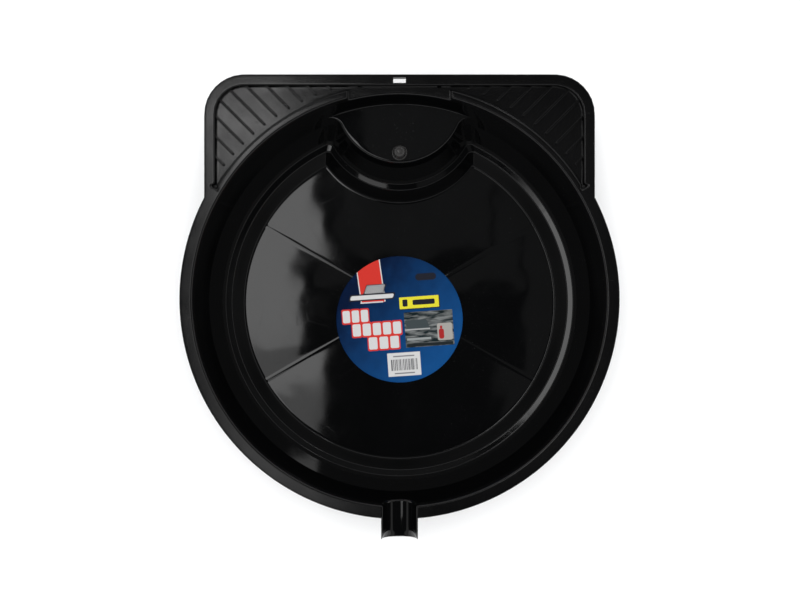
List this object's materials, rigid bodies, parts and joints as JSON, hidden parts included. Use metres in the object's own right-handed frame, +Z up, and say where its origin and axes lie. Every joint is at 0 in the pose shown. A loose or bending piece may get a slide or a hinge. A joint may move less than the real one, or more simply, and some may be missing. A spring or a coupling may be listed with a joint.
{
  "type": "oil drain pan",
  "caption": "Round stepped drain pan with a falling floor, filter ledge and peg, pouring spout, and square ribbed shoulders with a hanging slot.",
  "frame": {"origin": "on the ground, on the axis of the round basin: the middle of the plane of the foot ring's bottom face", "axes": "+Z up, +Y towards the shoulders with the hanging slot, so the spout points to -Y"},
  "size_m": [0.4, 0.422, 0.096],
  "materials": {
    "basin_gloss": "gloss, black polypropylene",
    "edge_satin": "satin, fine grain, black polypropylene",
    "label_print": "semi-gloss printed paper, blue, with plain coloured panels and no text"
  },
  "bodies": {
    "root": {"basin_floor": "basin_gloss", "foot_ring": "basin_gloss", "lower_wall": "basin_gloss", "upper_wall": "basin_gloss", "filter_ledge": "basin_gloss", "filter_peg": "basin_gloss", "round_rim": "edge_satin", "inner_bead": "edge_satin", "finger_gap": "edge_satin", "outer_rail": "edge_satin", "left_tray": "edge_satin", "right_tray": "edge_satin", "left_tray_ribs": "edge_satin", "right_tray_ribs": "edge_satin", "pouring_spout": "basin_gloss", "round_label": "label_print"}
  },
  "joints": []
}
